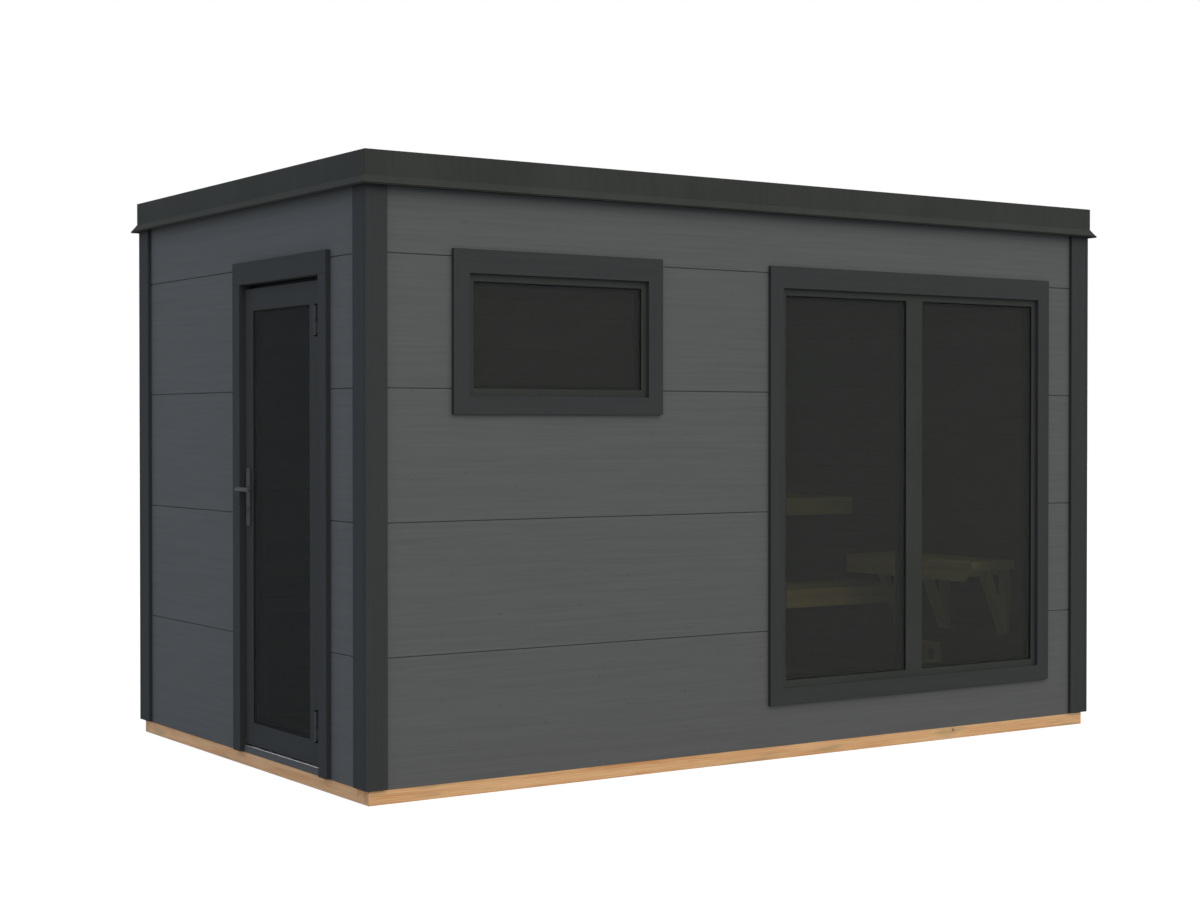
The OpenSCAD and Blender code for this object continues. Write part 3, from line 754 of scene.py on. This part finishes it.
def build_cladding():
    """Wide boards with a V between them, let out round the windows and the door."""
    for name, along in (("front", "x"), ("back", "x"), ("right", "y"), ("door_wall", "y")):
        node = name + "_cladding"
        shape = laid(node, along, "z", CLADDING_PITCH, CLADDING_JOINT, CLADDING_BEVEL, gap=CLADDING_GAP,
                     finish="cladding")
        piece(name + "_boards", shape, "cladding", stands_for=[node], along=along)


def build_lining():
    """Narrow boards inside, with the framed wall behind them."""
    inside = (("front_wall", "x", "y", "high"), ("back_wall", "x", "y", "low"),
              ("right_wall", "y", "x", "low"), ("door_wall_front", "y", "x", "high"),
              ("door_wall_back", "y", "x", "high"), ("door_wall_over", "y", "x", "high"))
    floor_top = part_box("floor")[1].z
    for node, along, through, face in inside:
        piece(node + "_core", behind(node, through, face, LINING_DEPTH), "lining", stands_for=[node],
              along=along)
        skin = laid(node, along, "z", LINING_PITCH, floor_top, LINING_BEVEL, LINING_DEPTH, face)
        piece(node + "_lining", skin, "lining", along=along)
    boarding = laid("ceiling", "x", "y", LINING_PITCH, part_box("ceiling")[0].y, LINING_BEVEL)
    piece("ceiling_lining", boarding, "lining", stands_for=["ceiling"], along="x")


def build_corners():
    eased_node("corner_boards_long", "corner_posts_long", "trim", POST_ARRIS)
    eased_node("corner_boards_end", "corner_posts_end", "trim", POST_ARRIS)


# ---- roof ----

def build_roof():
    """Folded flashings round the edge, and felt sheets that lap one over the next."""
    eased_node("roof_edge_long", "roof_flashing_long", "edge", FOLD)
    eased_node("roof_edge_end", "roof_flashing_end", "edge", FOLD)
    low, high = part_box("roof_cover")
    sheets = boxes((low, (high.x, high.y, high.z - FELT_THICK)))
    piece("roof_sheets", sheets, "felt", stands_for=["roof_cover"])
    end_gap = 0.01
    lap_bevel = 0.0012
    count = round((high.x - low.x) / FELT_WIDTH)
    start = (low.x + FELT_WIDTH, low.y + end_gap, high.z - FELT_THICK / 2)
    laps = board_row("felt", "y", "x", start, Length=high.y - low.y - 2 * end_gap, Height=FELT_LAP,
                     Depth=FELT_THICK, Pitch=FELT_WIDTH, Bevel=lap_bevel, Count=count - 1)
    piece("roof_laps", laps, "felt")


def build_flashing_details():
    """A sleeve over the joint in the middle of each long flashing, and all round under the flashing's
    lower edge a black rubber strip, a dark sheet that paints the shade beneath the drip.
    """
    low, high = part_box("roof_edge_long")
    face = max(v.co.y for v in frame["nodes"]["roof_edge_long"].data.vertices if v.co.z > high.z - MERGE)
    width, thick = 0.07, 0.0009
    over_corners, under_rim = 0.012, 0.002
    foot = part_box("corner_boards_long")[1].z + over_corners
    sleeves = bmesh.new()
    for side in (1, -1):
        near, far = sorted((side * (face - thick), side * (face + thick)))
        add_box(sleeves, (-width / 2, near, foot), (width / 2, far, high.z - under_rim))
    piece("flashing_sleeves", eased(sleeves, arris=thick * 0.6, segments=1), "edge")
    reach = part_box("roof_edge_end")[1].x
    outline = (-reach, low.y, reach, high.y)
    set_in, inner_edge = 0.001, 0.006
    below, above = 0.003, 0.006
    # Painted shade: black rubber under the drip's edge stands in for the shadow beneath the kick.
    strips = add_ring(bmesh.new(), "z", shrunk(outline, set_in), shrunk(outline, inner_edge),
                      low.z - below, low.z + above)
    piece("painted_shade_strips", strips, "rubber")


# ---- windows ----

def glazing(name, panes, frame_node, axis, body="house"):
    """Two sheets of glass, spacer bars, rubber and inner beads for each pane that a CAD node holds."""
    i = coordinate(axis)
    u, v = [j for j in range(3) if j != i]
    front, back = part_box(frame_node)[0][i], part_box(frame_node)[1][i]
    let_in = 0.0005         # how far rubbers and beads reach into the frame
    rubber_set = 0.001      # how far the outer rubber lies behind the frame's face
    bead_set = 0.002        # how far the beads stop short of the frame's back
    glass, bars, gaskets, beads = bmesh.new(), bmesh.new(), bmesh.new(), bmesh.new()
    for low, high in solids(panes):
        held = (low[u], low[v], high[u], high[v])
        for near, far in ((low[i], low[i] + SHEET_GLASS), (high[i] - SHEET_GLASS, high[i])):
            a, b = list(low), list(high)
            a[i], b[i] = near, far
            add_box(glass, a, b)
        add_ring(bars, axis, held, shrunk(held, SPACER), low[i] + SHEET_GLASS, high[i] - SHEET_GLASS)
        opening = shrunk(held, PANE_GRIP)
        rebate = shrunk(opening, -let_in)
        bead_front = high[i] + GASKET_BED
        add_ring(gaskets, axis, rebate, shrunk(opening, GASKET), front + rubber_set, low[i])
        add_ring(gaskets, axis, rebate, shrunk(opening, BEAD + GASKET), high[i], bead_front)
        add_ring(beads, axis, rebate, shrunk(opening, BEAD), bead_front, back - bead_set)
    kind, paint = ("door_glass", "door") if body == "door" else ("glass", "frame")
    piece(name + "_glass", eased(glass, arris=0.0006, segments=1), kind, body, [panes])
    piece(name + "_spacers", bars, "spacer", body)
    piece(name + "_beads", eased(beads, arris=0.004, segments=3), paint, body, along="ring")
    piece(name + "_gaskets", gaskets, "rubber", body)


def trim_ring(node):
    """Four mitred boards of a trim that runs round a window."""
    u, v = planes(node, "x"), planes(node, "z")
    near, far = planes(node, "y")
    return add_ring(bmesh.new(), "y", (u[0], v[0], u[3], v[3]), (u[1], v[1], u[2], v[2]), near, far)


def casing_ring(node, wall):
    """Flat boards round a window's hole, on the room side of the wall."""
    low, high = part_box(node)
    hole = (low.x, low.z, high.x, high.z)
    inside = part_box(wall)[1].y
    step = 0.002
    return add_ring(bmesh.new(), "y", shrunk(hole, -CASING_WIDTH), shrunk(hole, step),
                    inside, inside + CASING_DEPTH)


def build_windows():
    for name, panes in (("small_window", "small_window_pane"), ("large_window", "large_window_panes")):
        piece(name + "_trims", eased(trim_ring(name + "_trim")), "trim",
              stands_for=[name + "_trim"], along="ring")
        eased_node(name + "_frame", name + "_sash", "frame", FOLD)
        piece(name + "_casings", eased(casing_ring(name + "_frame", "front_wall"), CASING_ARRIS),
              "lining", along="ring")
        glazing(name, panes, name + "_frame", "y")


# ---- doorway ----

def build_doorway():
    eased_node("door_trim_legs", "door_casing_legs", "trim")
    eased_node("door_trim_head", "door_casing_head", "trim")
    eased_node("door_jambs", "door_frame_jambs", "door", slot="trim_paint")
    eased_node("door_frame_head", "door_frame_top", "door", slot="trim_paint")
    eased_node("door_sill", "door_sill_board", "cladding")


def build_threshold():
    """A thin metal strip with ribs along it and a row of screws between two of them."""
    low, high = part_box("door_threshold")
    rib_height, rib_count, end_gap = 0.0006, 7, 0.001
    pitch = (high.x - low.x) / rib_count
    plate_top = high.z - rib_height
    strip = boxes((low, (high.x, high.y, plate_top)))
    start = (low.x + pitch / 2, low.y + end_gap, plate_top)
    ribs = board_row("threshold", "y", "x", start, Length=high.y - low.y - 2 * end_gap,
                     Height=pitch * 0.5, Depth=rib_height * 2, Pitch=pitch, Bevel=rib_height * 0.7,
                     Count=rib_count)
    piece("threshold_plate", eased(strip, arris=0.0005, segments=1), "threshold",
          stands_for=["door_threshold"])
    piece("threshold_ribs", ribs, "threshold")
    screw_count, ribs_before = 5, 3
    spacing = (high.y - low.y) / screw_count
    places = [(low.x + pitch * ribs_before, low.y + spacing * (i + 0.5), plate_top)
              for i in range(screw_count)]
    screwed("threshold_screws", places, (0, 0, 1), height=rib_height)


def build_door_seals():
    """Rubber on the stops at both sides and at the top, on which the leaf closes."""
    leaf_low, leaf_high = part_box("door_leaf")
    stop_face = planes("door_jambs", "x")[-2]
    width, play, let_in = 0.007, 0.0005, 0.001
    front, back = leaf_high.x + play, stop_face + let_in
    hinge_side, latch_side = leaf_low.y + 0.001, leaf_high.y - width
    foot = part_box("door_threshold")[1].z + 0.001
    top = leaf_high.z - width
    seals = boxes(((front, hinge_side, foot), (back, hinge_side + width, top)),
                  ((front, latch_side, foot), (back, latch_side + width, top)),
                  ((front, hinge_side, top), (back, latch_side + width, top + width)))
    piece("door_seals", eased(seals, arris=0.0022, segments=3), "rubber")


def spindle_neck():
    """The radius of the lever's neck, where it passes through the leaf."""
    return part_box("lever_outer")[1].z - spindle[2]


def build_leaf():
    """Stiles and rails, bored for the spindle, with the pane between them."""
    low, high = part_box("door_leaf")
    pane_low, pane_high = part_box("door_pane")
    left, right = pane_low.y + PANE_GRIP, pane_high.y - PANE_GRIP
    foot, top = pane_low.z + PANE_GRIP, pane_high.z - PANE_GRIP
    timbers = eased(boxes((low, (high.x, left, high.z)), ((low.x, right, low.z), high),
                          ((low.x, left, low.z), (high.x, right, foot)),
                          ((low.x, left, top), (high.x, right, high.z))), LEAF_ARRIS)
    play, past = 0.001, 0.01
    bore = add_rod(bmesh.new(), "x", spindle, spindle_neck() + play, low.x - past, high.x + past,
                   sides=48)
    piece("leaf_timbers", combined_with(timbers, bore, "DIFFERENCE"), "door", "door", ["door_leaf"])
    glazing("door", "door_pane", "door_leaf", "x", "door")


def build_hinges():
    """Two knuckles a hinge, with a washer between them and a cap on each end."""
    knuckle_arris, cap_arris = 0.0009, 0.0008
    eased_node("hinge_fixed", "hinge_half_fixed", "hinge", knuckle_arris, round_form=True)
    eased_node("hinge_moving", "hinge_half_moving", "hinge", knuckle_arris, body="door",
               round_form=True)
    lip = 0.0003                    # how far washers and caps stand out round the knuckles
    radius = hinge_line[0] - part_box("hinge_moving")[0].x + lip
    over, proud = 0.004, 0.0015     # how far a cap reaches over its knuckle, and past its end
    under, into = 0.002, 0.0008     # how far a washer lies under the upper knuckle, and up round it
    washers, caps_below, caps_above = bmesh.new(), bmesh.new(), bmesh.new()
    for low, high in solids("hinge_moving"):
        add_rod(washers, "z", hinge_line, radius, low.z - under, low.z + into)
        add_rod(caps_above, "z", hinge_line, radius, high.z - over, high.z + proud)
    for low, _ in solids("hinge_fixed"):
        add_rod(caps_below, "z", hinge_line, radius, low.z - proud, low.z + over)
    piece("hinge_washers", washers, "rubber", round_form=True)
    piece("hinge_caps_below", eased(caps_below, cap_arris), "rubber", round_form=True)
    piece("hinge_caps_above", eased(caps_above, cap_arris), "rubber", "door", round_form=True)


def build_handle():
    """Long plates with a keyhole and screws on both sides, and a lever with a collar on each."""
    plates, collars, locks = bmesh.new(), bmesh.new(), bmesh.new()
    sides = solids("handle_plates")
    for low, high in sides:
        add_box(plates, low, high)
    across = [e for e in plates.edges if abs((e.verts[0].co - e.verts[1].co).x) > MERGE]
    bmesh.ops.bevel(plates, geom=across, offset=0.007, segments=6, profile=0.5, affect="EDGES")
    piece("handle_backplates", eased(plates, arris=0.0015), "handle", "door", ["handle_plates"],
          round_form=True)
    sunk = 0.001                                        # how far a collar or lock starts in its plate
    collar_width, collar_height = 0.0035, 0.0025
    lock_radius, lock_height = 0.0085, 0.002
    key_width, key_drop = 0.010, 0.0245
    lock_z = spindle[2] - LOCK_DROP
    screw_inset = 0.014
    for side, out, (low, high) in (("outer", -1, sides[0]), ("inner", 1, sides[1])):
        face = low.x if side == "outer" else high.x
        near, far = sorted((face - out * sunk, face + out * collar_height))
        add_rod(collars, "x", spindle, spindle_neck() + collar_width, near, far, sides=40)
        near, far = sorted((face - out * sunk, face + out * lock_height))
        add_rod(locks, "x", (0.0, spindle[1], lock_z), lock_radius, near, far)
        add_box(locks, (near, spindle[1] - key_width / 2, lock_z - key_drop),
                (far, spindle[1] + key_width / 2, lock_z))
        places = [(face, spindle[1], z) for z in (low.z + screw_inset, high.z - screw_inset)]
        screwed(side + "_plate_screws", places, (out, 0, 0), 0.0036, 0.0009, "door", "dark_screw")
    piece("lever_collars", eased(collars, arris=0.0008), "handle", "door", round_form=True)
    piece("lock_cylinders", eased(locks, arris=0.0006), "dark_screw", "door", slot="handle_metal",
          round_form=True)
    for name in ("lever_outer", "lever_inner"):
        piece(name.replace("lever", "lever_handle"), copied(name), "handle", "handle", [name],
              round_form=True)


def build_latch():
    """A face plate with its bolt in the leaf's edge, and the strike plate in the jamb."""
    leaf_low, leaf_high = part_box("door_leaf")
    leaf_face = leaf_high.y
    jamb_face = min(p for p in planes("door_jambs", "y") if p > leaf_face)
    middle, half = (leaf_low.x + leaf_high.x) / 2, 0.010
    foot, top = spindle[2] - 0.14, spindle[2] + 0.06
    sunk, proud = 0.002, 0.0006
    bolt_half, bolt_rise, bolt_proud = 0.006, 0.008, 0.0022
    plate = boxes(((middle - half, leaf_face - sunk, foot), (middle + half, leaf_face + proud, top)))
    bolt = boxes(((middle - bolt_half, leaf_face - sunk, spindle[2] - bolt_rise),
                  (middle + bolt_half, leaf_face + bolt_proud, spindle[2] + bolt_rise)))
    strike = boxes(((middle - half, jamb_face - proud, foot), (middle + half, jamb_face + sunk, top)))
    piece("latch_face_plate", eased(plate, arris=0.0004, segments=1), "screw", "door")
    piece("latch_bolt", eased(bolt, arris=0.0008), "screw", "door")
    piece("strike_plate", eased(strike, arris=0.0004, segments=1), "screw")
    screw_inset, screw_radius = 0.012, 0.0034
    heights = (foot + screw_inset, top - screw_inset)
    screwed("face_plate_screws", [(middle, leaf_face + proud, z) for z in heights], (0, 1, 0),
            screw_radius, proud, "door")
    screwed("strike_plate_screws", [(middle, jamb_face - proud, z) for z in heights], (0, -1, 0),
            screw_radius, proud)


# ---- benches ----

def add_slats(shape, low, high, along, stack):
    """Adds the slats of one seat, spread evenly over it."""
    a, s = coordinate(along), coordinate(stack)
    count = round((high[s] - low[s] + SLAT_GAP) / SLAT_PITCH)
    pitch = (high[s] - low[s] + SLAT_GAP) / count
    start = [0.0, 0.0, (low.z + high.z) / 2]
    start[a] = low[a]
    start[s] = low[s] + (pitch - SLAT_GAP) / 2
    slats = board_row("bench", along, stack, start, Length=high[a] - low[a], Height=pitch - SLAT_GAP,
                      Depth=high.z - low.z, Pitch=pitch, Bevel=SLAT_BEVEL, Count=count)
    mesh = bpy.data.meshes.new("slats")
    slats.to_mesh(mesh)
    slats.free()
    shape.from_mesh(mesh)


def build_benches():
    """Slatted seats, each with its slats along its longer side, on the eased timbers that carry them."""
    seats = bmesh.new()
    for low, high in solids("bench_seats"):
        size = high - low
        along, stack = ("x", "y") if size.x > size.y else ("y", "x")
        add_slats(seats, low, high, along, stack)
    piece("bench_slats", seats, "bench", stands_for=["bench_seats"])
    for name in ("bench_fronts", "bench_posts", "bench_crossbars", "side_bench_brackets", "wall_vent"):
        eased_node(name, name + "_eased", "bench", BENCH_ARRIS)


# ---- what stays as packed ----

def dress_nodes():
    """Finishes for the CAD nodes that keep their own shape."""
    for name, finish in (("floor_joists", "timber"), ("roof_joists", "timber"), ("roof_deck", "deck")):
        node = frame["nodes"][name]
        node.data.materials.clear()
        node.data.materials.append(finishes[finish])


# ---- stage ----

def seen_directly(nodes):
    """1 for what the camera sees, also in metal and through glass, and 0 for light on surfaces."""
    rays = [nodes.node("ShaderNodeLightPath", out=name)
            for name in ("Is Camera Ray", "Is Glossy Ray", "Is Transmission Ray")]
    return nodes.math("MAXIMUM", nodes.math("MAXIMUM", rays[0], rays[1]), rays[2])


def build_floor():
    """A wide floor: mid grey to the light that falls on it, and near white where it is seen."""
    f = Finish("studio_floor")
    lit = f.node("ShaderNodeBsdfDiffuse", {"Color": grey(0.36)})
    shown = f.node("ShaderNodeBsdfDiffuse", {"Color": grey(0.2)})
    glow = f.node("ShaderNodeEmission", {"Color": grey(1.0), "Strength": 0.87})
    both = f.node("ShaderNodeAddShader", {0: shown, 1: glow})
    mixed = f.node("ShaderNodeMixShader", {0: seen_directly(f), 1: lit, 2: both})
    f.node("ShaderNodeOutputMaterial", {"Surface": mixed})
    f.material.cycles.emission_sampling = "NONE"
    reach = 60.0
    shape = bmesh.new()
    bmesh.ops.create_grid(shape, x_segments=1, y_segments=1, size=reach)
    mesh = bpy.data.meshes.new("floor_plane")
    shape.to_mesh(mesh)
    shape.free()
    mesh.materials.append(f.material)
    plane = bpy.data.objects.new("floor_plane", mesh)
    bpy.context.scene.collection.objects.link(plane)


def build_world():
    """A cool soft sky for the light on the house, seen as plain white."""
    world = bpy.data.worlds.new("studio")
    bpy.context.scene.world = world
    world.use_nodes = True
    n = Nodes(world.node_tree)
    n.tree.nodes.clear()
    soft = n.node("ShaderNodeBackground", {"Color": (0.78, 0.845, 1.0, 1.0), "Strength": 1.17})
    white = n.node("ShaderNodeBackground", {"Color": grey(1.0), "Strength": 1.0})
    mixed = n.node("ShaderNodeMixShader", {0: seen_directly(n), 1: soft, 2: white})
    n.node("ShaderNodeOutputWorld", {"Surface": mixed})


def build_lamp():
    """A warm and very soft sun on the front wall."""
    shining = Vector((-0.12, 0.8, -0.55))
    lamp = bpy.data.lights.new("key", "SUN")
    lamp.energy = 1.4
    lamp.angle = math.radians(60)
    lamp.color = (1.0, 0.86, 0.6)
    key = bpy.data.objects.new("key", lamp)
    key.rotation_euler = shining.to_track_quat("-Z", "Y").to_euler()
    bpy.context.scene.collection.objects.link(key)


def build_camera():
    """A camera 1.5 m over the ground, out from the corner between the door wall and the front."""
    tilt, turn = 89.3153, -33.8197      # degrees from straight down, and round the upright
    camera = bpy.data.objects.new("camera", bpy.data.cameras.new("camera"))
    camera.location = (-5.6185, -8.2149, 1.4802)
    camera.rotation_euler = (math.radians(tilt), 0.0, math.radians(turn))
    camera.data.lens = 60.97
    camera.data.sensor_width = 36.0
    camera.data.clip_end = 200.0
    bpy.context.scene.collection.objects.link(camera)
    bpy.context.scene.camera = camera


build_camera()
build_base()
build_cladding()
build_lining()
build_corners()
build_roof()
build_flashing_details()
build_windows()
build_doorway()
build_threshold()
build_door_seals()
build_leaf()
build_hinges()
build_handle()
build_latch()
build_benches()
dress_nodes()
build_floor()
build_world()
build_lamp()
bpy.context.scene.view_settings.view_transform = "Standard"
